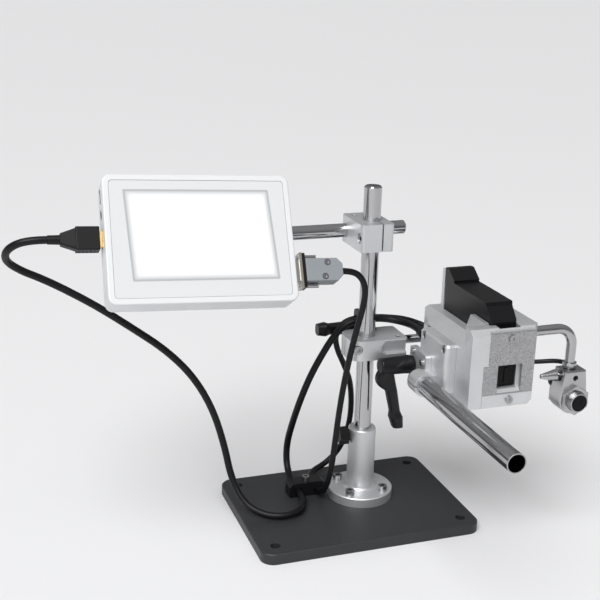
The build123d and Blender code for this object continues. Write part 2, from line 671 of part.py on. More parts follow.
rear_seat = clamp_half_depth + 0.5
rear_plane = Plane(origin=(rear_lever_x, rear_seat, link_height), x_dir=(-1, 0, 0), z_dir=(0, 1, 0))
rear_lever = lever(rear_plane, rear_lever_hub, 34.0, 3.0, 42.0, -0.05)
with BuildPart() as rear_lever_stud:
    pin((rear_lever_x, rear_seat + 13.8, link_height), (rear_lever_x, -11.5, link_height),
        stud_diameter - 0.1)
keep_group("rear_lever", rear_lever, rear_lever_stud.part)

# ---------------------------------------------------------------- print head
cartridge_right = cartridge_left + cartridge_width
play = 0.5
plate_back = head_front + front_plate
window = (78.3, 101.6, 150.8, 173.0)
bar_top = 146.3
front_screw_upper = (90.0, 197.0)
front_screw_lower = (91.0, 140.8)
wiring_bay = (71.5, -75.0, -30.0, 146.0, 178.0)
bracket_screw_places = ((lever_y, 162.6), (-46.0, 158.0))
cover_screw_places = ((-35.0, 180.0), (-74.0, 180.0))
gland_x = 46.4
gland_z = 177.5
gland_flats = 9.4
signal_gland = (84.0, 158.0)
socket_x = 106.0
socket_z = 150.0
with BuildPart() as head_body:
    with BuildSketch(Plane.XY.offset(head_bottom)):
        with BuildLine():
            Polyline(
                (head_left, head_front), (plate_left - 0.15, head_front), (plate_left - 0.15, plate_back),
                (head_right - 5, plate_back), (head_right, plate_back + 5), (head_right, head_back),
                (head_left + 10.4, head_back), (head_left, head_back - 30), (head_left, head_front),
            )
        make_face()
    extrude(amount=head_top - head_bottom)
    # bevel along the top of the front
    with BuildSketch(Plane.YZ.offset(head_left - 1)) as bevel:
        with BuildLine():
            Polyline((head_front - 1, head_top - bevel_height - 0.8), (head_front + 5, head_top),
                     (head_front + 5, head_top + 1), (head_front - 1, head_top + 1),
                     (head_front - 1, head_top - bevel_height - 0.8))
        make_face()
    extrude(bevel.sketch, amount=head_right - head_left + 2, mode=Mode.SUBTRACT)
    bar((plate_left - 4.7, head_front - 1, head_bottom - 1),
        (plate_left + 1, plate_back, window[3] + 0.2), Mode.SUBTRACT)
    # the left wall is lower than the front and right walls, with a sloped shoulder
    bar((head_left - 1, cartridge_front + 1.5, left_wall_top),
        (cartridge_left + 0.5, head_back + 1, head_top + 1), Mode.SUBTRACT)
    bar((head_left - 1, cartridge_back + 0.6, left_wall_top),
        (head_right + 1, head_back + 1, head_top + 1), Mode.SUBTRACT)
    with BuildSketch(Plane.XZ.offset(-head_back - 1)) as shoulder:
        with BuildLine():
            Polyline((head_left - 1, left_wall_top - shoulder_drop - 1),
                (head_left + shoulder_width, left_wall_top),
                     (head_left + shoulder_width, left_wall_top + 1), (head_left - 1, left_wall_top + 1),
                     (head_left - 1, left_wall_top - shoulder_drop - 1))
        make_face()
    extrude(shoulder.sketch, amount=head_back + 1 - cartridge_front - 1.5, mode=Mode.SUBTRACT)
    # pocket for the cartridge, with a channel at the front for its nose
    bar((cartridge_left - play, cartridge_front - play, cartridge_floor - play),
        (cartridge_right + play, cartridge_back + play, head_top + 1), Mode.SUBTRACT)
    bar((window[0] + 0.6, plate_back + 1.2, window[2] - 0.2),
        (window[1] - 2.2, cartridge_front, head_top + 1), Mode.SUBTRACT)
    bar((window[0], plate_back - 1, window[2]), (window[1], plate_back + 3, window[3]), Mode.SUBTRACT)
    # recess for the contact board in the right wall
    bar((cartridge_right, -80, 152), (cartridge_right + 2.4, -50, 190), Mode.SUBTRACT)
    # wiring bay in the left wall, open to the side cover
    bar((head_left - 1, wiring_bay[1], wiring_bay[3]), (wiring_bay[0], wiring_bay[2], wiring_bay[4]),
        Mode.SUBTRACT)
    # bores: link rod, sensor arm, glands, sensor lead's socket, screws
    pin((head_left, 0, link_height), (link_end + 1, 0, link_height), link_diameter + 2 * running_fit,
        Mode.SUBTRACT)
    pin((head_right - 11, arm_y, arm_z), (head_right + 1, arm_y, arm_z), arm_diameter + 2 * running_fit,
        Mode.SUBTRACT)
    pin((signal_gland[0], head_back + 1, signal_gland[1]),
        (signal_gland[0], head_back - 6, signal_gland[1]),
        8 + 2 * running_fit, Mode.SUBTRACT)
    pin((socket_x, head_back + 1, socket_z), (socket_x, head_back - 6, socket_z), 8 + 2 * running_fit,
        Mode.SUBTRACT)
    for x, z in (front_screw_upper, front_screw_lower):
        pin((x, plate_back - 1, z), (x, plate_back + (1.1 if z > bar_top + 20 else 7), z),
            4 + 2 * running_fit, Mode.SUBTRACT)
    for y, z in cover_screw_places:
        pin((head_left - 1, y, z), (head_left + 8, y, z), 4 + 2 * running_fit, Mode.SUBTRACT)
keep(head_body.part, "head_body")

with BuildPart() as head_front_plate:
    with BuildSketch(Plane.XZ.offset(-plate_back)):
        with BuildLine():
            Polyline(
                (plate_left, head_top - bevel_height), (head_right - 4.5, head_top - bevel_height),
                (head_right - 4.5, bar_top + 0.2),
                (plate_left - 4.5, bar_top + 0.2), (plate_left - 4.5, window[3]), (plate_left, window[3]),
                (plate_left, head_top - bevel_height),
            )
        make_face()
    extrude(amount=front_plate - 0.1)
    bar((window[0], head_front - 1, window[2] - 3.5), (window[1], plate_back + 1, window[3]), Mode.SUBTRACT)
    pin((front_screw_upper[0], head_front - 1, front_screw_upper[1]),
        (front_screw_upper[0], plate_back + 1, front_screw_upper[1]), 4 + 2 * running_fit, Mode.SUBTRACT)
keep(head_front_plate.part, "head_front_plate")

with BuildPart() as window_lip:
    with BuildSketch(Plane.YZ.offset(window[0] + 0.3)):
        with BuildLine():
            Polyline((plate_back - 0.2, window[2] - 3.3), (head_front, window[2] - 3.3),
                     (plate_back - 0.2, window[2] - 0.2), (plate_back - 0.2, window[2] - 3.3))
        make_face()
    extrude(amount=window[1] - window[0] - 0.6)

with BuildPart() as front_lower_bar:
    bar((plate_left - 4.5, head_front, head_bottom), (head_right - 4.5, plate_back - 0.1, bar_top))
    chamfer(front_lower_bar.edges().filter_by(Axis.Y).sort_by(Axis.X)[-2:].sort_by(Axis.Z)[0], 4.0)
    pin((front_screw_lower[0], head_front - 1, front_screw_lower[1]),
        (front_screw_lower[0], plate_back + 1, front_screw_lower[1]), 4 + 2 * running_fit, Mode.SUBTRACT)
keep_group("front_lower_bar", front_lower_bar.part, window_lip.part)

with BuildPart() as front_screws:
    for (x, z), reach in ((front_screw_upper, 1.0), (front_screw_lower, 6.5)):
        cap_screw((x, head_front, z), (x, plate_back + reach, z), 4, 7, 1.6, 2.5)

with BuildPart() as side_cover:
    bar((cover_left, cover_front, cover_bottom), (head_left - 0.1, cover_back, cover_top))
    fillet(side_cover.edges().filter_by(Axis.Z).sort_by(Axis.X)[:2], 4.0)
    chamfer(side_cover.faces().sort_by(Axis.Z)[-1].edges().filter_by(Axis.Y).sort_by(Axis.X)[0], 2.0)
    bar((cover_left + 2.5, cover_front + 6, cover_bottom + 6), (head_left + 1, cover_back - 5, 173),
        Mode.SUBTRACT)
    for y, z in cover_screw_places:
        pin((cover_left - 1, y, z), (cover_left + 3, y, z), 7.4, Mode.SUBTRACT)
        pin((cover_left, y, z), (head_left + 1, y, z), 4 + 2 * running_fit, Mode.SUBTRACT)
    pin((gland_x, cover_back + 1, gland_z), (gland_x, cover_back - 4, gland_z), 8 + 2 * running_fit,
        Mode.SUBTRACT)
    for y, z in bracket_screw_places:
        pin((cover_left - 1, y, z), (cover_left + 2.2, y, z), 3 + 2 * running_fit, Mode.SUBTRACT)
keep(side_cover.part, "side_cover")

with BuildPart() as side_cover_screws:
    for y, z in cover_screw_places:
        cap_screw((cover_left + 3, y, z), (head_left + 7.5, y, z), 4, 7, 2.6, 3)

with BuildPart() as driver_board:
    bar((wiring_bay[0] - 4.5, wiring_bay[1] + 3, wiring_bay[3] + 3),
        (wiring_bay[0] - 3, wiring_bay[2] - 3, wiring_bay[4] - 3))
    for y, z in ((-60, 160), (-46, 166), (-44, 154)):
        bar((wiring_bay[0] - 6.5, y - 5, z - 4), (wiring_bay[0] - 4.4, y + 5, z + 4))
keep(driver_board.part, "driver_board")

# bracket on the side cover: it takes the clamping lever and holds the guide tube
ring_wall = 2.0
ring_front = -66.0
ring_back = -50.0
with BuildPart() as head_bracket:
    bar((bracket_left, -53, 132), (cover_left - 0.1, -19.5, 166))
    fillet(head_bracket.edges().filter_by(Axis.X), 3.0)
    pin((tube_x, ring_front, tube_z), (tube_x, ring_back, tube_z), tube_diameter + 2 * ring_wall)
    bar((tube_x, ring_front, tube_z - 9), (cover_left - 0.1, ring_back, tube_z + 9))
    pin((tube_x, ring_front - 1, tube_z), (tube_x, ring_back + 4, tube_z),
        tube_diameter + 2 * running_fit, Mode.SUBTRACT)
    pin((bracket_left - 1, lever_y, lever_z), (cover_left, lever_y, lever_z),
        stud_diameter + 2 * running_fit, Mode.SUBTRACT)
    bar((cover_left - 0.1, ring_front - 1, tube_z - 14), (cover_left + 10, ring_back + 1, tube_z + 14),
        Mode.SUBTRACT)
    bar((tube_x - 14, ring_front - 1, tube_z - slit / 2), (tube_x - 5, ring_back + 1, tube_z + slit / 2),
        Mode.SUBTRACT)
    for y, z in bracket_screw_places:
        pin((bracket_left - 1, y, z), (cover_left, y, z), 3 + 2 * running_fit, Mode.SUBTRACT)
keep(head_bracket.part, "head_bracket")

with BuildPart() as bracket_plate_screws:
    for y, z in bracket_screw_places:
        cap_screw((bracket_left, y, z), (cover_left + 2.0, y, z), 3, 5.2, 1.8, 2)
keep_group("head_screws", front_screws.part, side_cover_screws.part, bracket_plate_screws.part)

with BuildPart() as guide_tube:
    pin((tube_x, tube_back, tube_z), (tube_x, tube_front, tube_z), tube_diameter)
    pin((tube_x, tube_back + 1, tube_z), (tube_x, tube_front - 1, tube_z), tube_diameter - 2 * tube_wall,
        Mode.SUBTRACT)
keep(guide_tube.part, "guide_tube")

# cheek that guides the cartridge, and the stop behind it
cheek_top = 207.5
with BuildPart() as cartridge_cheek:
    with BuildSketch(Plane.YZ.offset(cartridge_left - 5.0)):
        with BuildLine():
            Polyline((-60, left_wall_top + 0.1), (-67, cheek_top), (-92.6, cheek_top),
                (-92.6, left_wall_top + 0.1),
                     (-60, left_wall_top + 0.1))
        make_face()
    extrude(amount=4.2)

stop_top = 231.0
with BuildPart() as back_stop:
    bar((cartridge_left, cartridge_back + 1.0, left_wall_top + 0.1),
        (cartridge_right, cartridge_back + 6.0, stop_top))
    chamfer(back_stop.faces().sort_by(Axis.Z)[-1].edges().filter_by(Axis.X), 1.0)
keep_group("cartridge_guides", cartridge_cheek.part, back_stop.part)

with BuildPart() as contact_board:
    bar((cartridge_right + 0.9, -79, 153), (cartridge_right + 2.3, -51, 189))
keep(contact_board.part, "contact_board")

glands = []
for (x, y, z), bore in (
    ((gland_x, cover_back, gland_z), head_cable),
    ((signal_gland[0], head_back, signal_gland[1]), signal_cable),
    ((socket_x, head_back, socket_z), sensor_cable),
):
    with BuildPart() as gland:
        pin((x, y - 3.5, z), (x, y, z), 8)
        with BuildSketch(Plane(origin=(x, y + 0.05, z), x_dir=(1, 0, 0), z_dir=(0, 1, 0))):
            RegularPolygon(gland_flats / 2, 6, major_radius=False, rotation=30)
        extrude(amount=4)
        with BuildSketch(Plane(origin=(x, y + 4, z), z_dir=(0, 1, 0))) as dome:
            Circle(gland_flats / 2 - 0.2)
        extrude(dome.sketch, amount=6)
        fillet(gland.faces().sort_by(Axis.Y)[-1].edges(), 0.6)
        pin((x, y + 2, z), (x, y + 11, z), bore + 2 * cable_fit, Mode.SUBTRACT)
    glands.append(gland.part)
keep_group("cable_glands", *glands)

# ---------------------------------------------------------------- ink cartridge
bevel_back = -84.0
bevel_bottom = 208.0
lid = 3.0
with BuildPart() as cartridge_body:
    with BuildSketch(Plane.YZ.offset(cartridge_left)):
        with BuildLine():
            Polyline(
                (cartridge_back, cartridge_floor), (cartridge_back, cartridge_top - lid),
                (bevel_back - 0.8, cartridge_top - lid), (cartridge_front, bevel_bottom),
                (cartridge_front, cartridge_floor),
                (cartridge_back, cartridge_floor),
            )
        make_face()
    extrude(amount=cartridge_width)
    fillet(cartridge_body.edges().filter_by(Axis.Z), 1.5)
keep(cartridge_body.part, "cartridge_body")

with BuildPart() as cartridge_lid:
    with BuildSketch(Plane.YZ.offset(cartridge_left - 0.3)):
        with BuildLine():
            Polyline(
                (cartridge_back, cartridge_top - lid + 0.1), (cartridge_back, cartridge_top + 10),
                (cartridge_back - 6, cartridge_top + 10.5), (cartridge_back - 18, cartridge_top + 2),
                (cartridge_back - 18, cartridge_top), (bevel_back, cartridge_top),
                (bevel_back - 0.8, cartridge_top - lid + 0.1),
                (cartridge_back, cartridge_top - lid + 0.1),
            )
        make_face()
    extrude(amount=cartridge_width + 0.6)
    fillet(cartridge_lid.faces().sort_by(Axis.X)[0].edges().group_by(Axis.Z)[-1], 0.8)
keep(cartridge_lid.part, "cartridge_lid")

with BuildPart() as cartridge_nose:
    bar((window[0] + 1.4, cartridge_front - 6.5, window[2] + 0.6),
        (window[1] - 3.0, cartridge_front - 0.1, window[3] - 1.5))
    fillet(cartridge_nose.faces().sort_by(Axis.Y)[0].edges(), 1.5)

with BuildPart() as nozzle_plate:
    bar((87.5, cartridge_front - 7.3, window[2] + 3.5), (91.5, cartridge_front - 6.6, window[3] - 4.5))
keep_group("cartridge_nose", cartridge_nose.part, nozzle_plate.part)

# ---------------------------------------------------------------- product sensor on its bent arm
arm_end = 146.5
ring_bottom = block_top + 0.5
with BuildPart() as sensor_arm:
    with BuildLine():
        FilletPolyline((head_right - 10.5, arm_y, arm_z), (sensor_x, arm_y, arm_z),
            (sensor_x, arm_y, arm_end), radius=arm_bend)
    with BuildSketch(Plane(origin=(head_right - 10.5, arm_y, arm_z), z_dir=(1, 0, 0))):
        Circle(arm_diameter / 2)
    sweep()
    pin((sensor_x, arm_y, ring_bottom), (sensor_x, arm_y, ring_bottom + 4.5), 12.5)
keep(sensor_arm.part, "sensor_arm")

with BuildPart() as sensor_block:
    with BuildSketch(Plane.XZ.offset(-block_back)):
        with Locations((sensor_x, sensor_z)):
            Circle(14.0)
        with BuildLine():
            Polyline((sensor_x - 14, sensor_z), (sensor_x - 10.5, block_top), (sensor_x + 10.5, block_top),
                     (sensor_x + 14, sensor_z), (sensor_x - 14, sensor_z))
        make_face()
    extrude(amount=block_back - block_front)
    chamfer(sensor_block.faces().sort_by(Axis.Y)[0].edges(), 1.0)
    pin((sensor_x, block_front - 1, sensor_z), (sensor_x, block_back + 1, sensor_z),
        sensor_diameter + 2 * running_fit,
        Mode.SUBTRACT)
    pin((sensor_x, arm_y, arm_end - 0.5), (sensor_x, arm_y, block_top + 1),
        arm_diameter + 2 * running_fit, Mode.SUBTRACT)
    pin((sensor_x, block_front - 1, 151.5), (sensor_x, arm_y, 151.5), 5 + 2 * running_fit, Mode.SUBTRACT)
    pin((sensor_x - 20, arm_y, 151.5), (sensor_x, arm_y, 151.5), 5 + 2 * running_fit, Mode.SUBTRACT)
keep(sensor_block.part, "sensor_block")

with BuildPart() as sensor_set_screw:
    grub_screw((sensor_x, block_front + 0.6, 151.5), (sensor_x, arm_y - arm_diameter / 2 - 0.1, 151.5), 5,
        2.5)
keep(sensor_set_screw.part, "sensor_set_screw")

grip_seat = sensor_x - 14.0
with BuildPart() as taper_screw:
    with BuildSketch(Plane(origin=(grip_seat, arm_y, 151.5), z_dir=(-1, 0, 0))):
        Circle(5.4)
    with BuildSketch(Plane(origin=(grip_seat - 15, arm_y, 151.5), z_dir=(-1, 0, 0))):
        Circle(1.9)
    loft()
    fillet(taper_screw.faces().sort_by(Axis.X)[0].edges(), 1.2)
    pin((grip_seat + 0.5, arm_y, 151.5), (grip_seat, arm_y, 151.5), 10.8)
    pin((sensor_x - arm_diameter / 2 - 0.4, arm_y, 151.5), (grip_seat, arm_y, 151.5), 5)
keep(taper_screw.part, "taper_screw")

nuts = []
for start in (block_front - 0.3 - nut_thickness, block_back + 0.3):
    with BuildPart() as nut:
        with BuildSketch(Plane(origin=(sensor_x, start, sensor_z), z_dir=(0, 1, 0))):
            RegularPolygon(nut_across_flats / 2, 6, major_radius=False)
            Circle(sensor_diameter / 2 + running_fit, mode=Mode.SUBTRACT)
        extrude(amount=nut_thickness)
        chamfer(nut.edges().filter_by(GeomType.CIRCLE), 0.5)
    nuts.append(nut.part)
keep_group("sensor_nuts", *nuts)

sensor_back = sensor_front + sensor_length
with BuildPart() as sensor_barrel:
    pin((sensor_x, sensor_front, sensor_z), (sensor_x, sensor_back, sensor_z), sensor_diameter)
    chamfer(sensor_barrel.edges().filter_by(GeomType.CIRCLE), 0.6)
    pin((sensor_x, sensor_front - 1, sensor_z), (sensor_x, sensor_front + 2.5, sensor_z), 15.6,
        Mode.SUBTRACT)
keep(sensor_barrel.part, "sensor_barrel")

with BuildPart() as sensor_lens:
    pin((sensor_x, sensor_front + 2.4, sensor_z), (sensor_x, sensor_front + 0.6, sensor_z), 15.2)
    for side in (-1, 1):
        pin((sensor_x + side * 3.6, sensor_front + 1, sensor_z),
            (sensor_x + side * 3.6, sensor_front + 0.2, sensor_z), 5.0)
keep(sensor_lens.part, "sensor_lens")

sensor_gland_end = sensor_back + 8.0
with BuildPart() as sensor_gland:
    with BuildSketch(Plane(origin=(sensor_x, sensor_back + 0.05, sensor_z), z_dir=(0, 1, 0))):
        Circle(7.0)
    with BuildSketch(Plane(origin=(sensor_x, sensor_gland_end, sensor_z), z_dir=(0, 1, 0))):
        Circle(4.2)
    loft()
keep(sensor_gland.part, "sensor_gland")

# ---------------------------------------------------------------- cables
# Each cable runs in three stretches, held by the clip on the base plate and by the saddle behind the post.
# A route is a list of points; straight runs between them are joined by arcs as large as the runs allow.
routes = {
    "head_cable_down": (head_cable, [
        (-286.3, -10.6, 282.0), (-303.0, -10.2, 282.7), (-317.5, -1.4, 274.0), (-318.5, 12.5, 261.0),
        (-306.5, 21.0, 249.5), (-288.0, 21.0, 240.5), (-268.0, 20.0, 229.0), (-243.0, 19.0, 213.0),
        (-214.0, 18.0, 191.5), (-184.0, 18.0, 168.0), (-159.0, 18.5, 140.0), (-141.5, 17.0, 107.0),
        (-131.5, 13.0, 71.0), (-127.5, 3.0, 41.5), (-119.0, -11.5, 21.5), (-104.0, -24.0, 14.4),
        (-88.0, -31.0, 14.0), (-73.0, -28.5, 14.8), (-62.5, -16.5, 15.5), (-59.0, 0.0, 16.0),
        (-59.0, 14.9, 16.05),
    ]),
    "head_cable_up": (head_cable, [
        (-59.0, 15.1, 16.0), (-59.0, 34.0, 16.2), (-58.5, 49.0, 27.0), (-57.5, 52.0, 46.0),
        (-55.5, 42.5, 72.0),
        (-50.5, 33.5, 101.0), (-42.5, 30.5, 124.5), (-32.5, 28.0, 145.5), (-22.5, 24.5, 165.0),
        (-9.0, 22.0, 178.6), (7.7, 22.0, 179.5),
    ]),
    "head_cable_end": (head_cable, [
        (8.3, 22.0, 179.5), (22.0, 22.0, 179.3), (35.5, 17.5, 177.6), (45.0, 6.0, 177.0),
        (46.4, -7.5, 177.5),
        (46.4, -15.9, 177.5),
    ]),
    "signal_cable_down": (signal_cable, [
        (-41.0, -32.7, 245.2), (-29.5, -33.0, 244.6), (-20.5, -33.0, 237.5), (-16.5, -32.5, 226.0),
        (-17.5, -31.0, 210.0), (-22.0, -28.5, 188.0), (-26.0, -25.5, 163.0), (-29.5, -22.0, 134.0),
        (-31.5, -18.0, 105.0), (-33.0, -15.5, 77.0), (-36.0, -16.5, 51.5), (-39.0, -13.5, 28.5),
        (-41.0, 0.0, 15.8), (-41.0, 14.9, 16.0),
    ]),
    "signal_cable_up": (signal_cable, [
        (-41.0, 15.1, 16.0), (-40.5, 32.0, 16.2), (-31.5, 47.5, 15.2), (-15.5, 55.5, 17.0),
        (-2.0, 55.5, 29.0),
        (4.0, 50.0, 48.0), (5.0, 42.5, 71.0), (3.5, 38.0, 94.0), (-0.5, 35.0, 115.0), (-8.5, 33.5, 133.0),
        (-15.5, 33.0, 147.5), (-18.3, 32.7, 161.0), (-13.3, 32.6, 171.4), (-3.5, 32.5, 177.4),
        (7.7, 32.5, 177.5),
    ]),
    "signal_cable_end": (signal_cable, [
        (8.3, 32.5, 177.5), (24.0, 32.7, 177.0), (39.5, 36.0, 174.0), (55.0, 42.5, 169.5),
        (68.0, 43.5, 165.0),
        (78.5, 38.0, 161.0), (83.5, 28.5, 158.5), (84.0, 18.1, 158.0),
    ]),
    "sensor_lead": (sensor_cable, [
        (106.0, 18.1, 150.0), (106.3, 27.0, 150.0), (110.5, 36.0, 149.5), (119.0, 41.5, 148.0),
        (129.0, 40.5, 145.5), (137.5, 34.0, 142.0), (144.5, 24.0, 138.5), (151.0, 12.5, 135.0),
        (159.0, 2.0, 132.0), (170.0, -6.0, 130.5), (182.0, -11.0, 131.5), (193.0, -18.0, 134.0),
        (199.0, -29.5, 135.5), (196.5, -42.0, 135.0), (186.5, -48.5, 133.5), (174.5, -50.0, 132.2),
        (165.0, -55.0, 131.6), (160.5, -64.0, 131.3), (160.0, -72.5, 131.3),
    ]),
}
for name, (diameter, points) in routes.items():
    corners = [Vector(*p) for p in points]
    radii = []
    for before, here, after in zip(corners, corners[1:], corners[2:]):
        turn = (here - before).get_angle(after - here)
        shorter = min((here - before).length, (after - here).length)
        radii.append(0.45 * shorter / tan(radians(turn) / 2))
    with BuildPart() as cable:
        with BuildLine() as route:
            FilletPolyline(*points, radius=radii)
        with BuildSketch(Plane(origin=points[0], z_dir=corners[1] - corners[0])):
            Circle(diameter / 2)
        sweep()
    length = sum(edge.length for edge in route.edges())
    solid_length = cable.part.volume / (pi * diameter ** 2 / 4)
    print(name, "length", round(length, 1), "volume over section", round(solid_length, 1), "radii",
          *(round(radius, 1) for radius in radii))
    keep(cable.part, name)
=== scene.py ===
import bpy
import json
import math
from mathutils import Matrix, Vector


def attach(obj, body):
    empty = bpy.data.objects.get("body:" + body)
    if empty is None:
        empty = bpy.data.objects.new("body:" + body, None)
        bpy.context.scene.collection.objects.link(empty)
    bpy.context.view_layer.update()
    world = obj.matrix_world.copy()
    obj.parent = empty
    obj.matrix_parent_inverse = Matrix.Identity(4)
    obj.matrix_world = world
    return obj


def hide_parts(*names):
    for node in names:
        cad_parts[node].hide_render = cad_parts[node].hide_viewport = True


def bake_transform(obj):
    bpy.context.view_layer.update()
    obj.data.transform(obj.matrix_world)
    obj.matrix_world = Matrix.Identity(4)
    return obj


# Date code inkjet printer on its stand.  Metres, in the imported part's frame: +Z up, +X towards the print
# head, +Y away from the operator, origin on the post's axis under the base plate.

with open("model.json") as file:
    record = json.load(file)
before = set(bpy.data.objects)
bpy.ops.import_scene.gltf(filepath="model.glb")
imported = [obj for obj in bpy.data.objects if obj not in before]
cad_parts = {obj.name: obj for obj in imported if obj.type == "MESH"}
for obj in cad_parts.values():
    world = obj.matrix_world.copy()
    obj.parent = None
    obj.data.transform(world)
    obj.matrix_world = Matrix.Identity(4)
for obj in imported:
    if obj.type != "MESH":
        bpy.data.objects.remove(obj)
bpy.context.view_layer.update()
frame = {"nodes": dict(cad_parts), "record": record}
nodes = frame["nodes"]
scene = bpy.context.scene
MM = 0.001


def mm(x, y, z):
    """A point given in millimetres."""
    return Vector((x * MM, y * MM, z * MM))


# ---------------------------------------------------------------- camera, floor and light
CAMERA_PLACE = mm(-378.2, -884.3, 507.8)
CAMERA_HEADING = math.radians(19.45)
CAMERA_DIP = math.radians(17.57)
CAMERA_ROLL = math.radians(-1.53)
CAMERA_LENS = 66.06


def add_camera():
    """The camera of the photograph, found from the controller's outline."""
    level = Vector((math.sin(CAMERA_HEADING), math.cos(CAMERA_HEADING), 0))
    across = Vector((math.cos(CAMERA_HEADING), -math.sin(CAMERA_HEADING), 0))
    forward = level * math.cos(CAMERA_DIP) - Vector((0, 0, 1)) * math.sin(CAMERA_DIP)
    upward = across.cross(forward)
    turn = Matrix.Rotation(CAMERA_ROLL, 3, forward)
    across, upward = turn @ across, turn @ upward
    data = bpy.data.cameras.new("camera")
    data.lens = CAMERA_LENS
    data.sensor_width = 36
    data.clip_start = 0.01
    camera = bpy.data.objects.new("camera", data)
    scene.collection.objects.link(camera)
    camera.matrix_world = Matrix.Translation(CAMERA_PLACE) @ Matrix(
        (across, upward, -forward)).transposed().to_4x4()
    scene.camera = camera


def add_floor():
    """A pale floor that reaches past the top of the picture."""
    half = 60.0
    corners = [(-half, -half, 0), (half, -half, 0), (half, half, 0), (-half, half, 0)]
    mesh = bpy.data.meshes.new("floor")
    mesh.from_pydata(corners, [], [(0, 1, 2, 3)])
    floor = bpy.data.objects.new("floor", mesh)
    scene.collection.objects.link(floor)
    paint = bpy.data.materials.new("floor_pale")
    paint.use_nodes = True
    shader = paint.node_tree.nodes["Principled BSDF"]
    shader.inputs["Base Color"].default_value = (0.80, 0.80, 0.81, 1)
    shader.inputs["Roughness"].default_value = 0.65
    mesh.materials.append(paint)


def add_light(name, place, target, size, watts):
    """A soft box that looks at a target."""
    data = bpy.data.lights.new(name, "AREA")
    data.shape = "RECTANGLE"
    data.size, data.size_y = size
    data.energy = watts
    light = bpy.data.objects.new(name, data)
    scene.collection.objects.link(light)
    light.location = place
    light.rotation_euler = (target - light.location).to_track_quat("-Z", "Y").to_euler()


def add_sun(name, toward, spread, strength):
    """Even light over the whole floor; toward is the way that it shines."""
    data = bpy.data.lights.new(name, "SUN")
    data.energy = strength
    data.angle = math.radians(spread)
    light = bpy.data.objects.new(name, data)
    scene.collection.objects.link(light)
    light.rotation_euler = toward.to_track_quat("-Z", "Y").to_euler()


def add_surroundings():
    """A pale studio with darker walls to both sides, which polished metal mirrors as soft bands."""
    world = bpy.data.worlds.new("studio")
    scene.world = world
    world.use_nodes = True
    tree = world.node_tree
    backdrop = tree.nodes["Background"]
    place = tree.nodes.new("ShaderNodeTexCoord")
    split = tree.nodes.new("ShaderNodeSeparateXYZ")
    ramp = tree.nodes.new("ShaderNodeValToRGB")
    stops = ramp.color_ramp
    stops.elements[0].position = 0.0
    stops.elements[0].color = (0.62, 0.63, 0.65, 1)
    stops.elements[1].position = 1.0
    stops.elements[1].color = (0.75, 0.75, 0.76, 1)
    bands = ((0.14, 0.10), (0.24, 0.75), (0.42, 0.95), (0.60, 0.90), (0.72, 0.16), (0.84, 0.60))
    for position, value in bands:
        stops.elements.new(position).color = (value, value, value * 1.02, 1)
    spread = tree.nodes.new("ShaderNodeMapRange")
    spread.inputs["From Min"].default_value = -1.0
    lift = tree.nodes.new("ShaderNodeMapRange")
    lift.inputs["From Min"].default_value = 0.15
    lift.inputs["From Max"].default_value = 0.75
    blend = tree.nodes.new("ShaderNodeMix")
    blend.data_type = "RGBA"
    blend.inputs["B"].default_value = (1.0, 1.0, 1.0, 1)
    tree.links.new(place.outputs["Generated"], split.inputs[0])
    tree.links.new(split.outputs["X"], spread.inputs["Value"])
    tree.links.new(spread.outputs["Result"], ramp.inputs["Fac"])
    tree.links.new(split.outputs["Z"], lift.inputs["Value"])
    tree.links.new(lift.outputs["Result"], blend.inputs["Factor"])
    tree.links.new(ramp.outputs["Color"], blend.inputs["A"])
    tree.links.new(blend.outputs["Result"], backdrop.inputs["Color"])
    backdrop.inputs["Strength"].default_value = 0.36


add_camera()
add_floor()
add_surroundings()
add_sun("soft_sun", toward=Vector((0.42, 0.50, -1.0)), spread=45, strength=2.6)
add_light("key_light", place=Vector((-1.1, -1.5, 1.7)), target=mm(-20, -20, 180), size=(1.0, 1.0), watts=9)
scene.view_settings.view_transform = "Standard"


# ---------------------------------------------------------------- materials
looks = {}


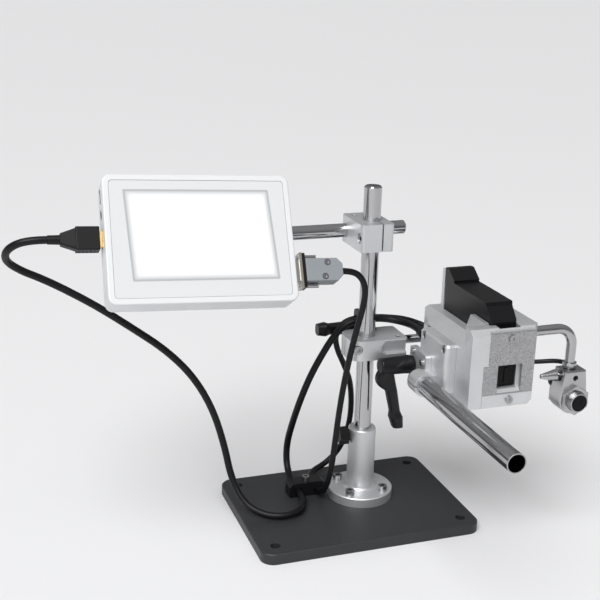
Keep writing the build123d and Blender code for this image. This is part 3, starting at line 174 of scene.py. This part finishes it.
def material(name, colour, metallic=0.0, roughness=0.5, grain=0.0, grain_size=0.4, patch=0.05, uneven=0.08,
             rounding=0.25, coat=0.0, specular=0.5):
    """A surface with fine relief (grain is its height, grain_size its spacing), patches of lighter and darker
    tone, uneven gloss and softened edges (rounding).  Sizes are in millimetres."""
    made = bpy.data.materials.new(name)
    made.use_nodes = True
    tree = made.node_tree
    shader = tree.nodes["Principled BSDF"]
    shader.inputs["Metallic"].default_value = metallic
    shader.inputs["Specular IOR Level"].default_value = specular
    if coat:
        shader.inputs["Coat Weight"].default_value = coat
        shader.inputs["Coat Roughness"].default_value = 0.08
    place = tree.nodes.new("ShaderNodeTexCoord")

    fine = tree.nodes.new("ShaderNodeTexNoise")
    fine.inputs["Scale"].default_value = 1 / (grain_size * MM)
    fine.inputs["Detail"].default_value = 3.0
    tree.links.new(place.outputs["Object"], fine.inputs["Vector"])
    broad = tree.nodes.new("ShaderNodeTexNoise")
    broad.inputs["Scale"].default_value = 45.0
    broad.inputs["Detail"].default_value = 4.0
    tree.links.new(place.outputs["Object"], broad.inputs["Vector"])

    tone = tree.nodes.new("ShaderNodeMix")
    tone.data_type = "RGBA"
    tone.inputs["A"].default_value = [c * (1 - patch) for c in colour] + [1]
    tone.inputs["B"].default_value = [min(1, c * (1 + patch)) for c in colour] + [1]
    tree.links.new(broad.outputs["Fac"], tone.inputs["Factor"])
    tree.links.new(tone.outputs["Result"], shader.inputs["Base Color"])

    gloss = tree.nodes.new("ShaderNodeMapRange")
    gloss.inputs["To Min"].default_value = max(0.02, roughness - uneven)
    gloss.inputs["To Max"].default_value = min(1.0, roughness + uneven)
    tree.links.new(fine.outputs["Fac"], gloss.inputs["Value"])
    tree.links.new(gloss.outputs["Result"], shader.inputs["Roughness"])

    edge = tree.nodes.new("ShaderNodeBevel")
    edge.samples = 4
    edge.inputs["Radius"].default_value = rounding * MM
    relief = tree.nodes.new("ShaderNodeBump")
    relief.inputs["Distance"].default_value = grain * MM
    relief.inputs["Strength"].default_value = 1.0
    tree.links.new(fine.outputs["Fac"], relief.inputs["Height"])
    tree.links.new(edge.outputs["Normal"], relief.inputs["Normal"])
    tree.links.new(relief.outputs["Normal"], shader.inputs["Normal"])
    looks[name] = made
    return made


def add_turned_lines(made, axis, pitch, depth):
    """Even rings along an axis: a thread, or the marks of turning."""
    tree = made.node_tree
    place = tree.nodes.new("ShaderNodeTexCoord")
    rings = tree.nodes.new("ShaderNodeTexWave")
    rings.bands_direction = axis
    rings.inputs["Scale"].default_value = 0.314 / (pitch * MM)
    relief = tree.nodes.new("ShaderNodeBump")
    relief.inputs["Distance"].default_value = depth * MM
    tree.links.new(place.outputs["Object"], rings.inputs["Vector"])
    tree.links.new(rings.outputs["Fac"], relief.inputs["Height"])
    shader = tree.nodes["Principled BSDF"]
    before = shader.inputs["Normal"].links[0].from_socket
    tree.links.new(before, relief.inputs["Normal"])
    tree.links.new(relief.outputs["Normal"], shader.inputs["Normal"])


def add_sparkle(made, size, dark, light):
    """Small facets of different brightness, as on a coarse cast face."""
    tree = made.node_tree
    shader = tree.nodes["Principled BSDF"]
    place = tree.nodes.new("ShaderNodeTexCoord")
    facets = tree.nodes.new("ShaderNodeTexVoronoi")
    facets.inputs["Scale"].default_value = 1 / (size * MM)
    ramp = tree.nodes.new("ShaderNodeValToRGB")
    ramp.color_ramp.elements[0].position = 0.15
    ramp.color_ramp.elements[0].color = (dark, dark, dark * 1.03, 1)
    ramp.color_ramp.elements[1].position = 0.85
    ramp.color_ramp.elements[1].color = (light, light, light * 1.02, 1)
    grey = tree.nodes.new("ShaderNodeRGBToBW")
    relief = tree.nodes.new("ShaderNodeBump")
    relief.inputs["Distance"].default_value = 0.12 * MM
    tree.links.new(place.outputs["Object"], facets.inputs["Vector"])
    tree.links.new(facets.outputs["Color"], grey.inputs["Color"])
    tree.links.new(grey.outputs["Val"], ramp.inputs["Fac"])
    tree.links.new(ramp.outputs["Color"], shader.inputs["Base Color"])
    tree.links.new(grey.outputs["Val"], relief.inputs["Height"])
    before = shader.inputs["Normal"].links[0].from_socket
    tree.links.new(before, relief.inputs["Normal"])
    tree.links.new(relief.outputs["Normal"], shader.inputs["Normal"])


# The stand, the rods and the clamps.
material("base_paint", (0.030, 0.031, 0.034), roughness=0.46, grain=0.10, grain_size=0.9, rounding=0.6,
         specular=0.35)
material("polished_steel", (0.47, 0.47, 0.48), metallic=1.0, roughness=0.13, grain=0.003, grain_size=0.5,
         patch=0.03, uneven=0.04, rounding=0.3)
material("clamp_aluminium", (0.66, 0.67, 0.68), metallic=0.75, roughness=0.42, grain=0.02, grain_size=0.35,
         rounding=0.5)
material("screw_steel", (0.40, 0.40, 0.41), metallic=1.0, roughness=0.28, grain=0.01, grain_size=0.3,
         rounding=0.2)
material("black_screw", (0.015, 0.015, 0.018), metallic=0.3, roughness=0.38, grain=0.01, grain_size=0.3,
         rounding=0.2)
material("lever_black", (0.006, 0.006, 0.007), roughness=0.38, grain=0.03, grain_size=0.5, rounding=0.4,
         specular=0.28)

# The controller and its plugs.
material("case_white", (0.72, 0.73, 0.74), roughness=0.42, grain=0.012, grain_size=0.6, patch=0.015,
         rounding=0.4)
material("screen_glass", (0.70, 0.71, 0.72), roughness=0.16, grain=0.001, grain_size=2.0, patch=0.01,
         uneven=0.02, rounding=0.2, coat=0.6)
material("screen_panel", (0.8, 0.8, 0.8), roughness=0.4)
material("circuit_board", (0.02, 0.16, 0.06), roughness=0.35, grain=0.01)
material("socket_metal", (0.55, 0.53, 0.48), metallic=1.0, roughness=0.3, grain=0.005, grain_size=0.3)
material("gold_shell", (0.80, 0.55, 0.20), metallic=1.0, roughness=0.25, grain=0.004, grain_size=0.3)
material("plug_black", (0.007, 0.007, 0.008), roughness=0.40, grain=0.02, rounding=0.3, specular=0.25)
material("hood_grey", (0.25, 0.27, 0.29), roughness=0.50, grain=0.05, grain_size=0.7, rounding=0.4)

# The print head, the sensor and the cables.
material("head_metal", (0.66, 0.67, 0.68), metallic=0.72, roughness=0.46, grain=0.035, grain_size=0.8,
         patch=0.12, rounding=0.6)
material("front_grain", (0.5, 0.5, 0.5), metallic=0.7, roughness=0.42, grain=0.04, grain_size=0.5,
         rounding=0.4)
add_sparkle(looks["front_grain"], size=0.5, dark=0.22, light=0.56)
material("cartridge_black", (0.005, 0.005, 0.006), roughness=0.32, grain=0.02, grain_size=0.6, rounding=0.5,
         specular=0.28)
material("nozzle_metal", (0.004, 0.004, 0.004), roughness=0.3, grain=0.005, specular=0.15)
material("nickel", (0.47, 0.47, 0.48), metallic=1.0, roughness=0.20, grain=0.006, grain_size=0.5, patch=0.08,
         rounding=0.4)
material("lens_black", (0.004, 0.004, 0.006), roughness=0.10, grain=0.0005, patch=0.0, uneven=0.01,
         specular=0.15)
material("cable_black", (0.005, 0.005, 0.006), roughness=0.42, grain=0.015, grain_size=0.5, specular=0.25)
add_turned_lines(looks["polished_steel"], "Z", pitch=0.9, depth=0.0008)

# Two nodes look different from their slots: the empty sockets are painted near-black as painted shade inside
# their openings, and the sensor's barrel is threaded.
# Painted shade: the socket openings are coloured near-black to stand for the shade that falls inside them.
material("socket_painted_shade", (0.01, 0.01, 0.011), roughness=0.4, grain=0.01, specular=0.2)
material("thread", (0.47, 0.47, 0.48), metallic=1.0, roughness=0.22, grain=0.004)
add_turned_lines(looks["thread"], "Y", pitch=1.0, depth=0.35)

own_look = {"sensor_barrel": "thread", "side_sockets": "socket_painted_shade"}
slot_of = {part["node"]: part["material_slot"] for part in frame["record"]["subparts"]}
for name, node in nodes.items():
    node.data.materials.clear()
    node.data.materials.append(looks[own_look.get(name, slot_of[name])])


# ---------------------------------------------------------------- screen
# The controller's face leans back and is turned a little in its own plane, as in the part.
LEAN = math.radians(31)
ROLL = math.radians(3)
FACE_NORMAL = Vector((0, -math.cos(LEAN), math.sin(LEAN)))
FACE_UP = Vector((0, math.sin(LEAN), math.cos(LEAN)))
FACE_RIGHT = Vector((math.cos(ROLL), 0, 0)) - FACE_UP * math.sin(ROLL)
FACE_RIGHT.normalize()
ROD_BEHIND_FACE = 49.8
ROD_ABOVE_CENTRE = 13.7
FACE_CENTRE = mm(-163.5, 20.0, 267.4) - FACE_UP * ROD_ABOVE_CENTRE * MM + FACE_NORMAL * ROD_BEHIND_FACE * MM


def face_point(x, y, depth):
    """A point on the controller's face, in millimetres from its centre, and its depth behind the face."""
    return FACE_CENTRE + FACE_RIGHT * x * MM + FACE_UP * y * MM - FACE_NORMAL * depth * MM


def rounded_outline(centre, size, radius, steps=6):
    """Corner points, in millimetres, of a rectangle with round corners."""
    points = []
    for turn, (sx, sy) in enumerate(((1, 1), (-1, 1), (-1, -1), (1, -1))):
        cx = centre[0] + sx * (size[0] / 2 - radius)
        cy = centre[1] + sy * (size[1] / 2 - radius)
        for step in range(steps + 1):
            angle = math.radians(90 * turn + 90 * step / steps)
            points.append((cx + radius * math.cos(angle), cy + radius * math.sin(angle)))
    return points


def face_patch(name, centre, size, radius, depth, look):
    """A flat patch with round corners on the controller's face."""
    mesh = bpy.data.meshes.new(name)
    points = [face_point(x, y, depth) for x, y in rounded_outline(centre, size, radius)]
    mesh.from_pydata(points, [], [tuple(range(len(points)))])
    patch = bpy.data.objects.new(name, mesh)
    scene.collection.objects.link(patch)
    mesh.materials.append(look)
    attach(patch, "controller")


def glowing(name, colour, strength):
    """A lit part of the screen."""
    made = bpy.data.materials.new(name)
    made.use_nodes = True
    shader = made.node_tree.nodes["Principled BSDF"]
    shader.inputs["Base Color"].default_value = [c * 0.45 for c in colour] + [1]
    shader.inputs["Roughness"].default_value = 0.2
    shader.inputs["Emission Color"].default_value = [*colour, 1]
    shader.inputs["Emission Strength"].default_value = strength
    return made


SCREEN_CENTRE = (1.0, 3.0)
SCREEN_SIZE = (123.0, 78.0)
# The screen is a plain lit page.  Its grey rim fades into it through patches laid one on the other.
SCREEN_STEPS = 6
STEP_INSET = 0.9
FIRST_INSET = 0.6
RIM_DEPTH = 0.26
STEP_RISE = 0.02
for step in range(SCREEN_STEPS):
    share = step / (SCREEN_STEPS - 1)
    shade = 0.66 + 0.34 * share ** 0.6
    inset = 2 * (STEP_INSET * step + (FIRST_INSET if step else 0))
    look = glowing("screen_%d" % step, (shade * 0.97, shade * 0.985, shade), 0.30 + 0.24 * share)
    size = (SCREEN_SIZE[0] - inset, SCREEN_SIZE[1] - inset)
    face_patch("screen_%d" % step, SCREEN_CENTRE, size, 1.0 + 0.5 * step, RIM_DEPTH - STEP_RISE * step, look)

# ---------------------------------------------------------------- cables
HEAD_CABLE = 6.5
SIGNAL_CABLE = 5.6
SENSOR_CABLE = 4.5


def cable(name, node, diameter, points):
    """A cable along a smooth line through its route, in place of the part's own node, which is hidden."""
    data = bpy.data.curves.new(name, "CURVE")
    data.dimensions = "3D"
    spline = data.splines.new("NURBS")
    spline.points.add(len(points) - 1)
    for point, (x, y, z) in zip(spline.points, points):
        point.co = (x * MM, y * MM, z * MM, 1)
    spline.order_u = 3
    spline.use_endpoint_u = True
    spline.resolution_u = 10
    route = bpy.data.objects.new(name + "_route", data)
    scene.collection.objects.link(route)
    bpy.context.view_layer.update()
    line = bpy.data.meshes.new_from_object(route)
    bpy.data.meshes.remove(line)
    data.bevel_depth = diameter / 2 * MM
    data.bevel_resolution = 6
    data.use_fill_caps = True
    bpy.context.view_layer.update()
    jacket = bpy.data.meshes.new_from_object(route)
    bpy.data.objects.remove(route)
    for face in jacket.polygons:
        face.use_smooth = True
    jacket.materials.clear()
    jacket.materials.append(looks["cable_black"])
    made = bpy.data.objects.new(name, jacket)
    scene.collection.objects.link(made)
    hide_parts(node)
    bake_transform(made)


cable("display_cable", "head_cable_down", HEAD_CABLE, [
    (-286.3, -10.6, 282.0), (-303.0, -10.2, 282.7), (-317.5, -1.4, 274.0), (-318.5, 12.5, 261.0),
    (-306.5, 21.0, 249.5), (-288.0, 21.0, 240.5), (-268.0, 20.0, 229.0), (-243.0, 19.0, 213.0),
    (-214.0, 18.0, 191.5), (-184.0, 18.0, 168.0), (-159.0, 18.5, 140.0), (-141.5, 17.0, 107.0),
    (-131.5, 13.0, 71.0), (-127.5, 3.0, 41.5), (-119.0, -11.5, 21.5), (-104.0, -24.0, 14.4),
    (-88.0, -31.0, 14.0), (-73.0, -28.5, 14.8), (-62.5, -16.5, 15.5), (-59.0, 0.0, 16.0),
    (-59.0, 14.9, 16.05),
])
cable("display_cable_rise", "head_cable_up", HEAD_CABLE, [
    (-59.0, 15.1, 16.0), (-59.0, 34.0, 16.2), (-58.5, 49.0, 27.0), (-57.5, 52.0, 46.0), (-55.5, 42.5, 72.0),
    (-50.5, 33.5, 101.0), (-42.5, 30.5, 124.5), (-32.5, 28.0, 145.5), (-22.5, 24.5, 165.0),
    (-9.0, 22.0, 178.6), (7.7, 22.0, 179.5),
])
cable("display_cable_end", "head_cable_end", HEAD_CABLE, [
    (8.3, 22.0, 179.5), (22.0, 22.0, 179.3), (35.5, 17.5, 177.6), (45.0, 6.0, 177.0), (46.4, -7.5, 177.5),
    (46.4, -15.9, 177.5),
])
cable("signal_cable", "signal_cable_down", SIGNAL_CABLE, [
    (-41.0, -32.7, 245.2), (-29.5, -33.0, 244.6), (-20.5, -33.0, 237.5), (-16.5, -32.5, 226.0),
    (-17.5, -31.0, 210.0), (-22.0, -28.5, 188.0), (-26.0, -25.5, 163.0), (-29.5, -22.0, 134.0),
    (-31.5, -18.0, 105.0), (-33.0, -15.5, 77.0), (-36.0, -16.5, 51.5), (-39.0, -13.5, 28.5),
    (-41.0, 0.0, 15.8), (-41.0, 14.9, 16.0),
])
cable("signal_cable_rise", "signal_cable_up", SIGNAL_CABLE, [
    (-41.0, 15.1, 16.0), (-40.5, 32.0, 16.2), (-31.5, 47.5, 15.2), (-15.5, 55.5, 17.0), (-2.0, 55.5, 29.0),
    (4.0, 50.0, 48.0), (5.0, 42.5, 71.0), (3.5, 38.0, 94.0), (-0.5, 35.0, 115.0), (-8.5, 33.5, 133.0),
    (-15.5, 33.0, 147.5), (-18.3, 32.7, 161.0), (-13.3, 32.6, 171.4), (-3.5, 32.5, 177.4), (7.7, 32.5, 177.5),
])
cable("signal_cable_end_run", "signal_cable_end", SIGNAL_CABLE, [
    (8.3, 32.5, 177.5), (24.0, 32.7, 177.0), (39.5, 36.0, 174.0), (55.0, 42.5, 169.5), (68.0, 43.5, 165.0),
    (78.5, 38.0, 161.0), (83.5, 28.5, 158.5), (84.0, 18.1, 158.0),
])
cable("sensor_cable", "sensor_lead", SENSOR_CABLE, [
    (106.0, 18.1, 150.0), (106.3, 27.0, 150.0), (110.5, 36.0, 149.5), (119.0, 41.5, 148.0),
    (129.0, 40.5, 145.5), (137.5, 34.0, 142.0), (144.5, 24.0, 138.5), (151.0, 12.5, 135.0),
    (159.0, 2.0, 132.0), (170.0, -6.0, 130.5), (182.0, -11.0, 131.5), (193.0, -18.0, 134.0),
    (199.0, -29.5, 135.5), (196.5, -42.0, 135.0), (186.5, -48.5, 133.5), (174.5, -50.0, 132.2),
    (165.0, -55.0, 131.6), (160.5, -64.0, 131.3), (160.0, -72.5, 131.3),
])
